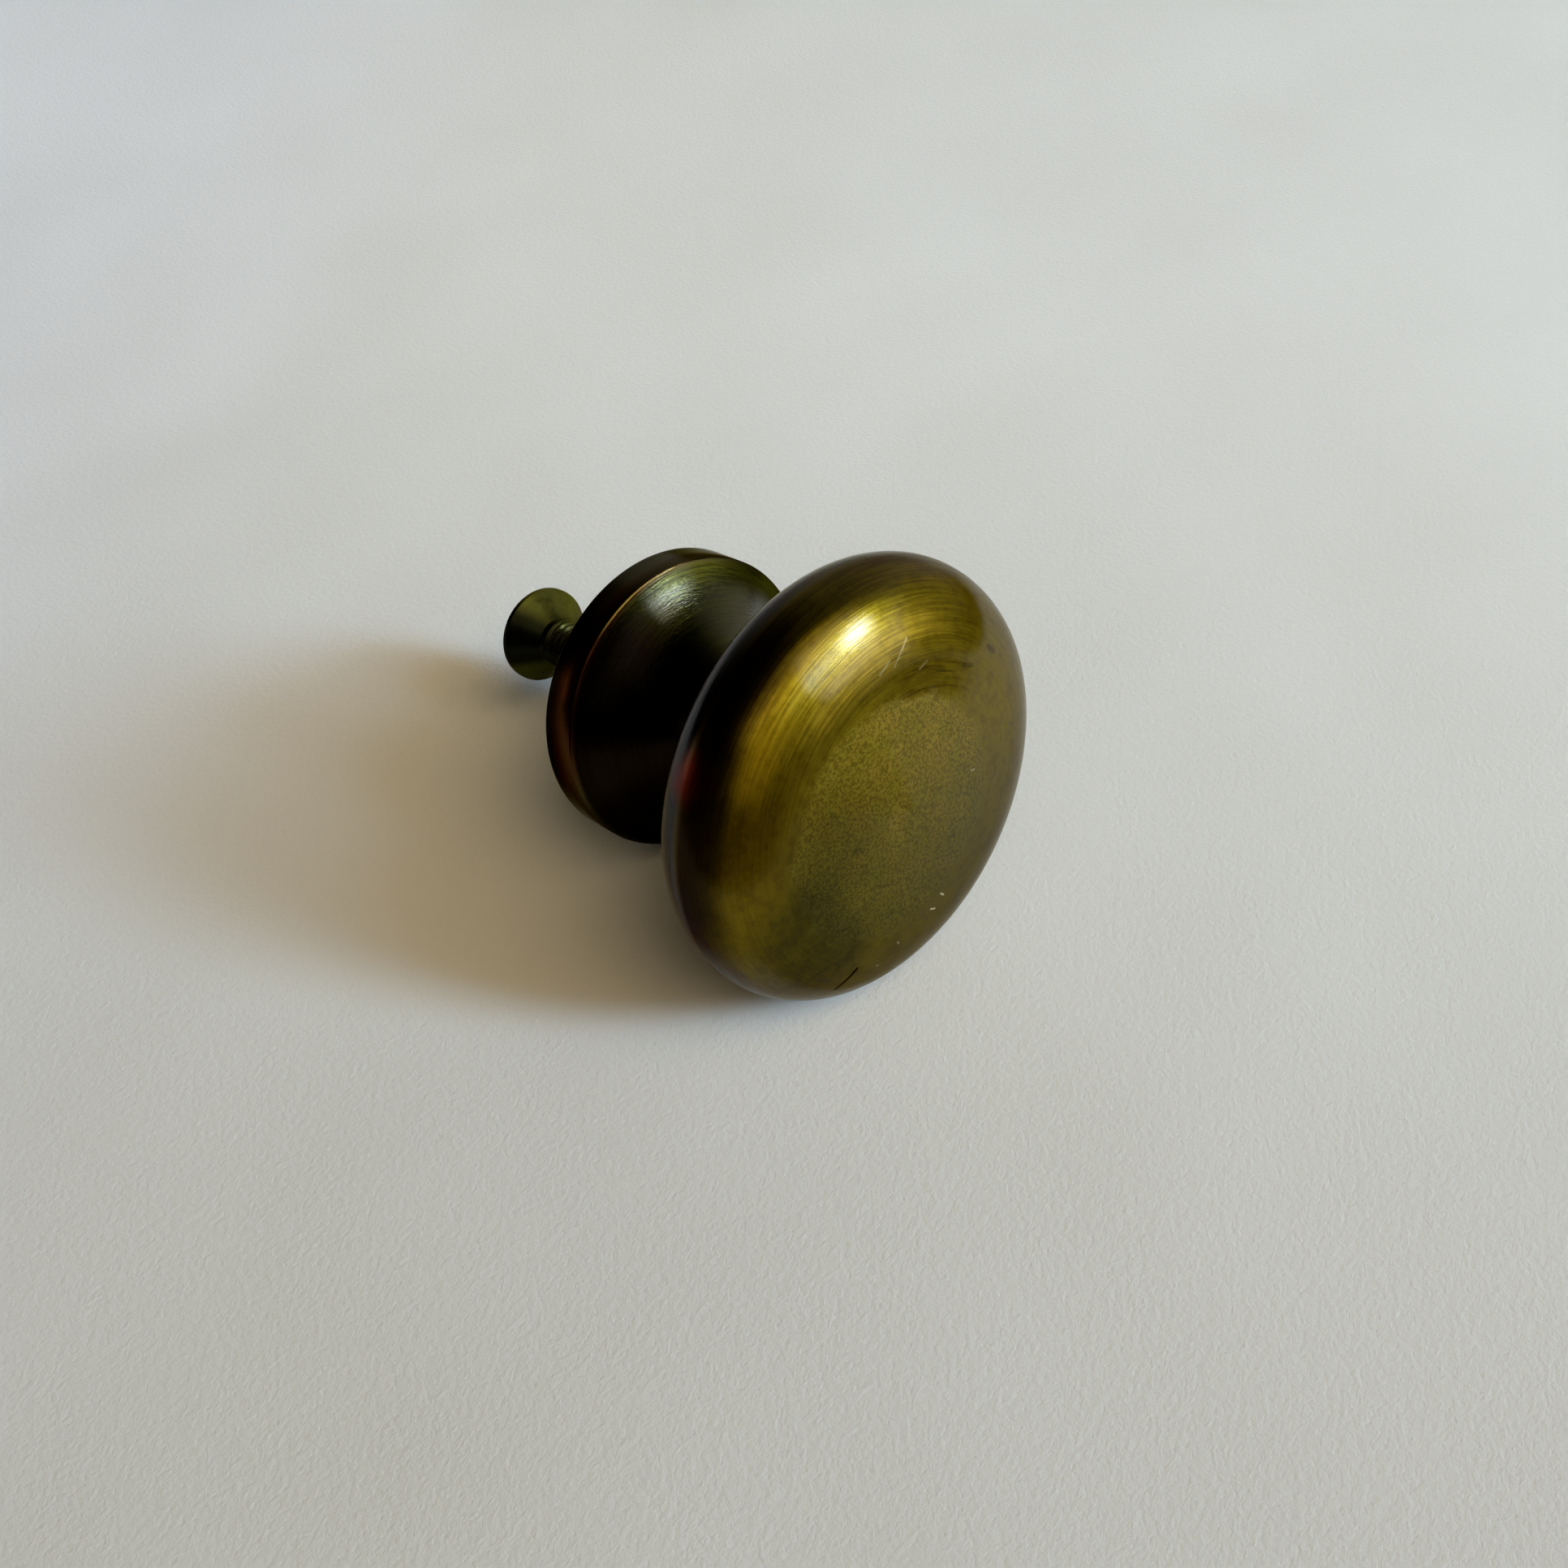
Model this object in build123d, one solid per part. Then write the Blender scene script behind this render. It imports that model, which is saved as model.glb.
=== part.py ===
from build123d import *
import os
from math import asin, atan2, cos, degrees, radians, sin, tan

# A turned brass cabinet knob and the machine screw that fixes it, in millimetres.
# The axis of both pieces lies along Y. The flat back of the base is the plane y = 0, its centre is the
# origin, the face that is pulled looks along -Y and the screw runs out along +Y. Z is up.

# Knob: overall sizes
HEAD_DIAMETER = 32.0
BASE_DIAMETER = 22.7
NECK_DIAMETER = 13.4
PROJECTION = 25.9
BASE_THICKNESS = 2.95
WAIST_PLANE = 9.6

# Knob: head section, from the widest ring forward to the pole and back to the neck
RIM_RADIUS = 4.2
RIM_ANGLE = 50.0
SHOULDER_RADIUS = 8.0
CROWN_RADIUS = 75.0
UNDERSIDE_RADIUS = 3.7
EDGE_BREAK = 0.15

# Screw: countersunk machine screw with a cross recess, measured over its whole length as such screws are
SCREW_DIAMETER = 4.0
SCREW_LENGTH = 25.0
SCREW_HEAD_DIAMETER = 7.9
SCREW_HEAD_ANGLE = 90.0
SCREW_HEAD_LAND = 0.4
RECESS_DIAMETER = 4.4
RECESS_DEPTH = 2.2
RECESS_WING = 0.9
RECESS_FLOOR_DIAMETER = 1.4
TIP_CHAMFER = 0.5

# Fit of the screw in the blind hole
ENGAGEMENT = 8.8
THREAD_CLEARANCE = 0.05
HOLE_DEPTH = 12.0
HOLE_CHAMFER = 0.5
DRILL_POINT_ANGLE = 118.0


def at(radius, forward):
    """A point of a half section: its distance from the axis and how far it lies in front of the back face."""
    return (radius, -forward)


def arc(center_radius, center_forward, radius, start, end):
    """An arc about a centre of the half section, between angles counted from outward towards the front."""
    center = at(center_radius, center_forward)
    return CenterArc(center, radius, -start, start - end)


def knob_section():
    """The half section of the knob as one closed face, drawn from the back face round to the pole."""
    head_radius = HEAD_DIAMETER / 2
    base_radius = BASE_DIAMETER / 2
    neck_radius = NECK_DIAMETER / 2

    # The rim, shoulder and crown arcs run into each other without a corner, so each centre follows the last.
    rim_center = head_radius - RIM_RADIUS
    inward = RIM_RADIUS - SHOULDER_RADIUS
    shoulder_center = rim_center + inward * cos(radians(RIM_ANGLE))
    crown_angle = 90 - degrees(asin(shoulder_center / (CROWN_RADIUS - SHOULDER_RADIUS)))
    crown_center_forward = PROJECTION - CROWN_RADIUS
    shoulder_forward = crown_center_forward + (CROWN_RADIUS - SHOULDER_RADIUS) * sin(radians(crown_angle))
    widest_plane = shoulder_forward - inward * sin(radians(RIM_ANGLE))

    # One cove leaves the front edge of the base, the other runs into the underside. They meet at the waist.
    base_drop = base_radius - neck_radius
    head_drop = head_radius - neck_radius
    base_run = WAIST_PLANE - BASE_THICKNESS
    head_run = widest_plane - WAIST_PLANE
    base_cove = (base_run**2 + base_drop**2) / (2 * base_drop)
    head_cove = (head_run**2 + head_drop**2) / (2 * head_drop) - UNDERSIDE_RADIUS
    base_cove_center = neck_radius + base_cove
    head_cove_center = neck_radius + head_cove
    underside_center = head_radius - UNDERSIDE_RADIUS
    base_cove_start = degrees(atan2(-base_run, base_radius - base_cove_center)) % 360
    head_cove_end = degrees(atan2(head_run, underside_center - head_cove_center))

    with BuildSketch() as section:
        with BuildLine():
            Polyline(at(0, PROJECTION), at(0, 0), at(base_radius, 0), at(base_radius, BASE_THICKNESS))
            arc(base_cove_center, WAIST_PLANE, base_cove, base_cove_start, 180)
            arc(head_cove_center, WAIST_PLANE, head_cove, 180, head_cove_end)
            arc(underside_center, widest_plane, UNDERSIDE_RADIUS, head_cove_end - 180, 0)
            arc(rim_center, widest_plane, RIM_RADIUS, 0, RIM_ANGLE)
            arc(shoulder_center, shoulder_forward, SHOULDER_RADIUS, RIM_ANGLE, crown_angle)
            arc(0, crown_center_forward, CROWN_RADIUS, crown_angle, 90)
        make_face()
    return section.sketch


def screw_hole():
    """The blind hole for the screw, with a chamfered mouth and the point that the drill leaves."""
    hole_radius = SCREW_DIAMETER / 2 + THREAD_CLEARANCE
    drill_point = hole_radius / tan(radians(DRILL_POINT_ANGLE / 2))
    with BuildSketch() as section:
        with BuildLine():
            Polyline(
                at(0, 0),
                at(hole_radius + HOLE_CHAMFER, 0),
                at(hole_radius, HOLE_CHAMFER),
                at(hole_radius, HOLE_DEPTH),
                at(0, HOLE_DEPTH + drill_point),
                close=True,
            )
        make_face()
    return revolve(section.sketch, Axis.Y)


def make_knob():
    """Head, neck and base turned from one bar, with the two edges of the base rim broken."""
    blank = revolve(knob_section(), Axis.Y)
    rim = blank.faces().filter_by(GeomType.CYLINDER)
    blank = fillet(rim.edges().filter_by(GeomType.CIRCLE), EDGE_BREAK)
    return blank - screw_hole()


def cross_recess():
    """The driver recess, its mouth at the origin and its depth along -Y: two crossed wings inside a taper."""
    taper = Cone(RECESS_FLOOR_DIAMETER / 2, RECESS_DIAMETER / 2, RECESS_DEPTH)
    wing = Box(RECESS_DIAMETER, RECESS_WING, RECESS_DEPTH)
    cross = (wing + Rot(0, 0, 90) * wing) & taper
    return Rot(-90, 0, 0) * Pos(0, 0, -RECESS_DEPTH / 2) * cross


def make_screw():
    """The machine screw, run into the knob as far as it is engaged."""
    shank_radius = SCREW_DIAMETER / 2
    head_radius = SCREW_HEAD_DIAMETER / 2
    cone_length = (head_radius - shank_radius) / tan(radians(SCREW_HEAD_ANGLE / 2))
    tip = ENGAGEMENT
    top = tip - SCREW_LENGTH
    with BuildSketch() as section:
        with BuildLine():
            Polyline(
                at(0, tip),
                at(shank_radius - TIP_CHAMFER, tip),
                at(shank_radius, tip - TIP_CHAMFER),
                at(shank_radius, top + SCREW_HEAD_LAND + cone_length),
                at(head_radius, top + SCREW_HEAD_LAND),
                at(head_radius, top),
                at(0, top),
                close=True,
            )
        make_face()
    blank = revolve(section.sketch, Axis.Y)
    return blank - Pos(0, -top, 0) * cross_recess()


os.makedirs("parts", exist_ok=True)
export_step(make_knob(), "parts/knob.step")
export_step(make_screw(), "parts/fixing_screw.step")
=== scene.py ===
from math import asin, atan2, ceil, cos, degrees, hypot, pi, radians, sin, sqrt, tan
import bpy
from mathutils import Matrix, Vector


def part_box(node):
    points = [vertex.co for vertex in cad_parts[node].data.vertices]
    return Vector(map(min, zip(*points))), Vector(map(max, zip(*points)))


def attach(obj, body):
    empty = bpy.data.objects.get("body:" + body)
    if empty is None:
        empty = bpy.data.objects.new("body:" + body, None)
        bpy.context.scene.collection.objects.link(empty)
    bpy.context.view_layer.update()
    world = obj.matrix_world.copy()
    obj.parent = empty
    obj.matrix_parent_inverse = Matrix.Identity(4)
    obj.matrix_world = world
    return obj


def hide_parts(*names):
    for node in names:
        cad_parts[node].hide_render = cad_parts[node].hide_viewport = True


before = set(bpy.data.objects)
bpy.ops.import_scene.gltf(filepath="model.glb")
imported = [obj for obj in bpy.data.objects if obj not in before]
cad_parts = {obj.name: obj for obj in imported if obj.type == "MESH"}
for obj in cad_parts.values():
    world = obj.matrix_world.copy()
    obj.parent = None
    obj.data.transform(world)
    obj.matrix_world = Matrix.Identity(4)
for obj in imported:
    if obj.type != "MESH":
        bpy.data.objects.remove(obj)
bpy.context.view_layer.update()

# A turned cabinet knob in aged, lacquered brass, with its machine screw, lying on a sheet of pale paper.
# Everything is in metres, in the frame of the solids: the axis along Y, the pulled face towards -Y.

MM = 0.001

# Knob section, as in the solids
KNOB_LOW, KNOB_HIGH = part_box("knob")
HEAD_RADIUS = KNOB_HIGH.x
PROJECTION = -KNOB_LOW.y
BASE_RADIUS = 11.35 * MM
BASE_THICKNESS = 2.95 * MM
NECK_RADIUS = 6.7 * MM
WAIST_PLANE = 9.6 * MM
RIM_RADIUS = 4.2 * MM
RIM_ANGLE = 50.0
SHOULDER_RADIUS = 8.0 * MM
CROWN_RADIUS = 75.0 * MM
UNDERSIDE_RADIUS = 3.7 * MM
EDGE_BREAK = 0.15 * MM
HOLE_RADIUS = 2.05 * MM
HOLE_CHAMFER = 0.5 * MM
HOLE_DEPTH = 12.0 * MM
DRILL_POINT_ANGLE = 118.0

# Screw, as in the solids, with the thread that the real one has
SCREW_LOW, SCREW_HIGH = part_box("fixing_screw")
SCREW_TIP = -SCREW_LOW.y
SCREW_TOP = -SCREW_HIGH.y
SCREW_HEAD_RADIUS = SCREW_HIGH.x
SHANK_RADIUS = 2.0 * MM
HEAD_LAND = 0.4 * MM
HEAD_ROUND = 0.05 * MM
HEAD_CONE_ANGLE = 45.0
CONE_END_STEP = 0.1 * MM
TIP_CHAMFER = 0.5 * MM
RECESS_RADIUS = 2.2 * MM
RECESS_FLOOR_RADIUS = 0.7 * MM
RECESS_DEPTH = 2.2 * MM
RECESS_HALF_WING = 0.45 * MM
THREAD_PITCH = 0.7 * MM
THREAD_DEPTH = 0.4 * MM
THREAD_CREST = 1 / 8
THREAD_RUNOUT = 1.0 * MM
THREAD_FLANK_ANGLE = 30.0

# Fineness of the meshes
KNOB_TURNS = 256
ARC_STEP = 2.0
SCREW_TURNS = 64
STEPS_PER_PITCH = 14
RECESS_STEPS = 8
KNOB_SHARP_ANGLE = 35
SCREW_SHARP_ANGLE = 65

# Marks on the pulled face, each from one (x, z) to another, in millimetres
LIGHT_SCRATCHES = (
    ((0.6, 10.8), (2.3, 11.9)),
    ((-0.7, 10.9), (0.3, 11.3)),
    ((2.6, 9.55), (3.4, 9.7)),
)
DARK_SCRATCHES = (((-8.0, -11.3), (-6.6, -9.9)),)
DENTS = (((9.6, 7.2), (10.1, 6.6)), ((6.6, 7.6), (7.4, 7.1)))
SPECKS = (((1.65, -8.75), (1.95, -9.1)), ((0.55, -9.45), (1.0, -9.75)))
FAINT_SPECKS = (
    ((-2.85, -10.1), (-2.75, -10.3)),
    ((-4.75, -11.1), (-4.6, -11.2)),
    ((5.8, -0.4), (6.1, -0.5)),
)
SCRATCH_WIDTH = 0.10
CUT_WIDTH = 0.22
DENT_WIDTH = 0.26

# Places of the finish, in millimetres
DISC_CENTER = (-1.7, 0, 0)
DISC_INNER = 9.6
DISC_OUTER = 10.6
DISC_WANDER = 2.4
RIM_INNER = 15.3
RIM_OUTER = 16.9
RIM_BROADER = 0.5
LEFT_SPOT = (-7.5, 0, 2.0)
LEFT_SPOT_INNER = 1.0
LEFT_SPOT_OUTER = 7.0
STAIN = ((-10.4, -2.8), (-8.9, -7.0))
STAIN_WIDTH = 4.6
# A painted reflection of a red thing beside the knob, on the left of the rim
RED_REFLECTION_PATCH = (-13.3, -20.5, 8.9)
RED_REFLECTION_INNER = 0.6
RED_REFLECTION_OUTER = 2.4
WHOLE_STREAK = ((-0.6, 13.7), (-4.6, 12.7))
WHOLE_STREAK_WIDTH = 1.9
RUBBED_STREAK = ((4.6, 11.9), (8.2, 10.2))
RUBBED_STREAK_WIDTH = 3.4

# Sides of the knob, as angles from +X towards +Z
BRUSHED_SIDE = 95
RING_SIDE = 65
OLIVE_SIDE = 48
SHADED_COVE_SIDE = 128
UNSEEN_SIDE = -60
BROAD_RIM_SIDE = 150
SHADED_RIM_SIDE = 147
RED_REFLECTION_EDGE_SIDE = 140
WORN_AND_LIT_EDGE_SIDE = 98
THIN_LACQUER_SIDE = 126
LOW_LACQUER_SIDE = -135
RUBBED_SIDE = 85
COVE_LACQUER_SIDE = 89

# Colours of the knob, linear
GOLD_DARK = (0.185, 0.137, 0.004)
GOLD_LIGHT = (0.230, 0.170, 0.009)
CROWN_DARK = (0.222, 0.184, 0.018)
CROWN_LIGHT = (0.278, 0.206, 0.026)
OXIDE_BLACK = (0.004, 0.003, 0.0006)
OXIDE_BROWN = (0.011, 0.004, 0.0006)
OLIVE_OXIDE_AND_SHEEN = (0.050, 0.054, 0.007)
UNSEEN_BROWN = (0.060, 0.044, 0.011)
BACK_DARK = (0.13, 0.105, 0.030)
BACK_LIGHT = (0.19, 0.152, 0.046)
RIM_RED_REFLECTION = (0.10, 0.014, 0.006)
EDGE_BROWN = (0.040, 0.034, 0.010)
EDGE_RED_REFLECTION = (0.056, 0.018, 0.005)
EDGE_WORN_AND_HIGHLIGHT = (0.12, 0.08, 0.02)
BARE_METAL = (0.28, 0.24, 0.09)
SPECK_PALE = (0.75, 0.70, 0.45)
SPECK_FAINT = (0.40, 0.36, 0.22)
CUT_BLACK = (0.012, 0.009, 0.002)
GLANCING_TINT = (0.45, 0.40, 0.28)

# Tints of the knob, as factors of its colours
BRUSH_TINT = (0.72, 0.70, 0.6)
MOTTLE_TINT = (0.80, 0.78, 0.6)
LEFT_TINT = (0.96, 0.90, 0.4)
TOP_PAINTED_LIGHT_TINT = (1.22, 1.2, 1.05)
GRAIN_TINT = (0.50, 0.48, 0.36)
LOW_PAINTED_SHADE_TINT = (0.60, 0.63, 0.56)
LEFT_SPOT_TINT = (0.54, 0.55, 0.34)
STAIN_TINT = (0.46, 0.50, 0.32)
RING_TINT = (0.38, 0.35, 0.25)
COVE_PAINTED_SHADE_TINT = (0.3, 0.3, 0.3)
BASE_TINT = (0.8, 0.95, 1.2)
STREAK_TINT = (0.5, 0.48, 0.45)
RIM_TINT = (0.32, 0.30, 0.2)
SHADED_RIM_TINT = (0.26, 0.20, 0.16)
CORNER_PAINTED_SHADE_TINT = (0.3, 0.28, 0.2)
DENT_TINT = (0.55, 0.52, 0.4)

# Gloss. The metal's roughness lies between two values, to which the knob's face and its disc add.
TURNED_ROUGHNESS = (0.17, 0.24)
FACE_ROUGHER = 0.09
DISC_ROUGHER = 0.13
LACQUER_ROUGHNESS = 0.08
LACQUER_IOR = 1.5
SCREW_ROUGHNESS = (0.24, 0.34)
SCREW_LACQUER = 0.12
SCREW_LACQUER_ROUGHNESS = 0.2
SCREW_LACQUER_IOR = 1.35

# Colours of the screw, the paper and the table, linear
SCREW_OLIVE_DARK = (0.096, 0.104, 0.018)
SCREW_OLIVE_LIGHT = (0.158, 0.160, 0.034)
SCREW_PAINTED_LOW_REFLECTION = (0.062, 0.080, 0.013)
SCREW_PAINTED_SHADE = (0.005, 0.006, 0.0012)
GROOVE_PAINTED_SHADE = (0.02, 0.018, 0.006)
PAPER_NEAR_SHADED = (0.53, 0.555, 0.56)
PAPER_FAR_LIT = (0.745, 0.81, 0.86)
PAPER_SKYLIGHT_TINT = (1.03, 1.05, 1.14)
WOOD_DARK = (0.05, 0.035, 0.022)
WOOD_LIGHT = (0.09, 0.06, 0.035)

# Heights of the fine relief
LINE_HEIGHT = 0.012 * MM
NICK_HEIGHT = 0.030 * MM
GRAIN_HEIGHT = 0.03 * MM
EDGE_WEAR = 0.30 * MM
EDGE_WEAR_START = 1.5
SCREW_RELIEF = 0.02 * MM
FIBRE_HEIGHT = 0.09 * MM
PAPER_WAVE = 3.0 * MM

# Floor, in metres right of the base and beyond it, as the camera sees them
PAPER_CORNERS = ((-0.7, -0.075), (0.080, -0.075), (0.538, 0.9), (-0.7, 0.9))
FLOOR_CORNERS = ((-1.5, -1.5), (1.5, -1.5), (1.5, 1.5), (-1.5, 1.5))
TABLE_DROP = 0.1 * MM
FLOOR_DROP = 0.2 * MM

# Camera, as fitted to the photograph
CAMERA_PLACE = Vector((-55.92, -86.02, 64.20)) * MM
CAMERA_AIM = Vector((2.56, -8.88, -6.72)) * MM
IMAGE_SIDE = 1932
FOCAL_PIXELS = 1935
SENSOR = 36.0
NEAREST = 5.0 * MM

# Light. A lamp fades from its core to its edge, which are shares of its width.
LAMP_DISTANCE = 2.0
LAMP_CORE = 0.15
LAMP_EDGE = 0.5
SKYLIGHT = (0.63, 0.86, 1.07)
DAYLIGHT = (0.84, 1.0, 1.15)
BESIDE_WINDOW = (0.87, 1.0, 1.0)
UNDER_WINDOW = (1.0, 0.97, 0.9)
WARM_WALL = (1.16, 0.84, 0.46)
WARM_CEILING = (1.0, 0.86, 0.55)
WARM_FILL = (1.0, 0.82, 0.35)
WARM_SIDE = (1.0, 0.75, 0.6)
ROOM_BRIGHT = (0.46, 0.43, 0.34)
ROOM_DARK = (0.005, 0.002, 0.001)
ROOM_BRIGHT_AZIMUTH = 25


def arc_points(center_radius, center_forward, radius, start, end):
    """Points of an arc of the half section, as (radius, forward). Angles run from outward to the front."""
    count = max(3, ceil(abs(end - start) / ARC_STEP))
    angles = [radians(start + (end - start) * i / count) for i in range(count + 1)]
    return [(center_radius + radius * cos(a), center_forward + radius * sin(a)) for a in angles]


def line_points(start, end, count):
    """Evenly spaced points of a straight stretch of the half section, both ends included."""
    shares = [i / count for i in range(count + 1)]
    return [tuple(a + (b - a) * s for a, b in zip(start, end)) for s in shares]


def joined(*stretches):
    """One outline from stretches that follow each other, with each shared end kept once."""
    outline = []
    for stretch in stretches:
        first = 0
        if outline and hypot(outline[-1][0] - stretch[0][0], outline[-1][1] - stretch[0][1]) < 1e-7:
            first = 1
        outline += stretch[first:]
    return outline


# Rim, shoulder and crown run into each other without a corner, so each centre follows the last.
RIM_CENTER = HEAD_RADIUS - RIM_RADIUS
SHOULDER_CENTER = RIM_CENTER + (RIM_RADIUS - SHOULDER_RADIUS) * cos(radians(RIM_ANGLE))
CROWN_ANGLE = 90 - degrees(asin(SHOULDER_CENTER / (CROWN_RADIUS - SHOULDER_RADIUS)))
CROWN_FORWARD = PROJECTION - CROWN_RADIUS
SHOULDER_FORWARD = CROWN_FORWARD + (CROWN_RADIUS - SHOULDER_RADIUS) * sin(radians(CROWN_ANGLE))
WIDEST_PLANE = SHOULDER_FORWARD - (RIM_RADIUS - SHOULDER_RADIUS) * sin(radians(RIM_ANGLE))


def knob_outline():
    """The knob's half section from the bottom of its hole, round the back and the neck, to the pole."""
    base_drop = BASE_RADIUS - NECK_RADIUS
    head_drop = HEAD_RADIUS - NECK_RADIUS
    base_run = WAIST_PLANE - BASE_THICKNESS
    head_run = WIDEST_PLANE - WAIST_PLANE
    base_cove = (base_run**2 + base_drop**2) / (2 * base_drop)
    head_cove = (head_run**2 + head_drop**2) / (2 * head_drop) - UNDERSIDE_RADIUS
    base_center = NECK_RADIUS + base_cove
    head_center = NECK_RADIUS + head_cove
    underside_center = HEAD_RADIUS - UNDERSIDE_RADIUS
    head_cove_end = degrees(atan2(head_run, underside_center - head_center))

    # The broken front edge of the base is a small round between the rim and the cove.
    break_center = BASE_RADIUS - EDGE_BREAK
    reach = base_cove + EDGE_BREAK
    break_forward = WAIST_PLANE - sqrt(reach**2 - (base_center - break_center) ** 2)
    break_end = degrees(atan2(WAIST_PLANE - break_forward, base_center - break_center))

    drill_point = HOLE_RADIUS / tan(radians(DRILL_POINT_ANGLE / 2))
    mouth = HOLE_RADIUS + HOLE_CHAMFER
    return joined(
        line_points((0, HOLE_DEPTH + drill_point), (HOLE_RADIUS, HOLE_DEPTH), 2),
        line_points((HOLE_RADIUS, HOLE_DEPTH), (HOLE_RADIUS, HOLE_CHAMFER), 4),
        line_points((HOLE_RADIUS, HOLE_CHAMFER), (mouth, 0), 2),
        line_points((mouth, 0), (break_center, 0), 12),
        arc_points(break_center, EDGE_BREAK, EDGE_BREAK, -90, 0),
        line_points((BASE_RADIUS, EDGE_BREAK), (BASE_RADIUS, break_forward), 8),
        arc_points(break_center, break_forward, EDGE_BREAK, 0, break_end),
        arc_points(base_center, WAIST_PLANE, base_cove, break_end + 180, 180),
        arc_points(head_center, WAIST_PLANE, head_cove, 180, head_cove_end),
        arc_points(underside_center, WIDEST_PLANE, UNDERSIDE_RADIUS, head_cove_end - 180, 0),
        arc_points(RIM_CENTER, WIDEST_PLANE, RIM_RADIUS, 0, RIM_ANGLE),
        arc_points(SHOULDER_CENTER, SHOULDER_FORWARD, SHOULDER_RADIUS, RIM_ANGLE, CROWN_ANGLE),
        arc_points(0, CROWN_FORWARD, CROWN_RADIUS, CROWN_ANGLE, 90),
    )


def on_axis(forward):
    return (0, -forward, 0)


def ring(turns, radius_at, forward):
    """Points round the axis on one plane. radius_at gives the distance from the axis at an angle."""
    angles = [2 * pi * i / turns for i in range(turns)]
    return [(radius_at(a) * cos(a), -forward, radius_at(a) * sin(a)) for a in angles]


def round_ring(turns, radius, forward):
    return ring(turns, lambda angle: radius, forward)


def skin(name, first, rings, last, sharp):
    """A closed mesh over rings of equally many points, with one point on the axis at either end."""
    turns = len(rings[0])
    points = [first] + [point for row in rings for point in row] + [last]
    end = len(points) - 1

    def at(row, i):
        return 1 + row * turns + i % turns

    faces = [(0, at(0, i + 1), at(0, i)) for i in range(turns)]
    for row in range(len(rings) - 1):
        faces += [(at(row, i), at(row, i + 1), at(row + 1, i + 1), at(row + 1, i)) for i in range(turns)]
    faces += [(end, at(len(rings) - 1, i), at(len(rings) - 1, i + 1)) for i in range(turns)]
    mesh = bpy.data.meshes.new(name)
    mesh.from_pydata(points, [], faces)
    mesh.shade_smooth()
    mesh.set_sharp_from_angle(angle=radians(sharp))
    piece = bpy.data.objects.new(name, mesh)
    bpy.context.scene.collection.objects.link(piece)
    return piece


def mark_stations(piece, outline, turns):
    """Keeps on each point of a turned mesh its distance from the pole along the outline, in millimetres."""
    stations = [0.0]
    for a, b in zip(outline[:0:-1], outline[-2::-1]):
        stations.append(stations[-1] + hypot(a[0] - b[0], a[1] - b[1]) / MM)
    stations.reverse()
    values = stations[:1]
    for station in stations[1:-1]:
        values += [station] * turns
    values += stations[-1:]
    piece.data.attributes.new("station", "FLOAT", "POINT").data.foreach_set("value", values)


def make_knob():
    outline = knob_outline()
    rings = [round_ring(KNOB_TURNS, radius, forward) for radius, forward in outline[1:-1]]
    knob = skin("turned_knob", on_axis(outline[0][1]), rings, on_axis(outline[-1][1]), KNOB_SHARP_ANGLE)
    mark_stations(knob, outline, KNOB_TURNS)
    return knob


def recess_rings():
    """The cross recess from its floor to its mouth: four wings with straight sides, inside a taper."""
    rings = []
    for i in range(RECESS_STEPS + 1):
        share = i / RECESS_STEPS
        reach = RECESS_FLOOR_RADIUS + (RECESS_RADIUS - RECESS_FLOOR_RADIUS) * share

        def radius_at(angle):
            off_wing = (angle + pi / 4) % (pi / 2) - pi / 4
            return min(reach, RECESS_HALF_WING / max(abs(sin(off_wing)), 1e-6))

        rings.append(ring(SCREW_TURNS, radius_at, SCREW_TOP + RECESS_DEPTH * (1 - share)))
    return rings


def head_rings():
    """The screw's head, from the flat round the recess to the small end of the cone, with rounded edges."""
    cone_end = SCREW_TOP + HEAD_LAND + SCREW_HEAD_RADIUS - SHANK_RADIUS
    center = SCREW_HEAD_RADIUS - HEAD_ROUND
    cone_tangent = HEAD_ROUND * tan(radians(HEAD_CONE_ANGLE / 2))
    outline = joined(
        arc_points(center, SCREW_TOP + HEAD_ROUND, HEAD_ROUND, -90, 0),
        arc_points(center, SCREW_TOP + HEAD_LAND - cone_tangent, HEAD_ROUND, 0, HEAD_CONE_ANGLE),
        line_points((SHANK_RADIUS + CONE_END_STEP, cone_end - CONE_END_STEP), (SHANK_RADIUS, cone_end), 2),
    )
    return [round_ring(SCREW_TURNS, radius, forward) for radius, forward in outline]


def thread_rings():
    """The right-hand thread from under the head to the chamfered tip."""
    start = SCREW_TOP + HEAD_LAND + SCREW_HEAD_RADIUS - SHANK_RADIUS
    count = ceil((SCREW_TIP - start) / THREAD_PITCH * STEPS_PER_PITCH)
    flank = THREAD_DEPTH / THREAD_PITCH * tan(radians(THREAD_FLANK_ANGLE))
    rings = []
    for i in range(1, count + 1):
        forward = start + (SCREW_TIP - start) * i / count
        depth = THREAD_DEPTH * min(1, (forward - start) / THREAD_RUNOUT)
        limit = SHANK_RADIUS - max(0, TIP_CHAMFER - (SCREW_TIP - forward))

        def radius_at(angle):
            off_crest = abs((forward / THREAD_PITCH - angle / (2 * pi)) % 1 - 0.5)
            fall = (off_crest - THREAD_CREST / 2) / flank
            return min(limit, SHANK_RADIUS - depth * min(1, max(0, fall)))

        rings.append(ring(SCREW_TURNS, radius_at, forward))
    return rings


def make_screw():
    rings = recess_rings() + head_rings() + thread_rings()
    floor = on_axis(SCREW_TOP + RECESS_DEPTH)
    return skin("threaded_screw", floor, rings, on_axis(SCREW_TIP), SCREW_SHARP_ANGLE)


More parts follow.
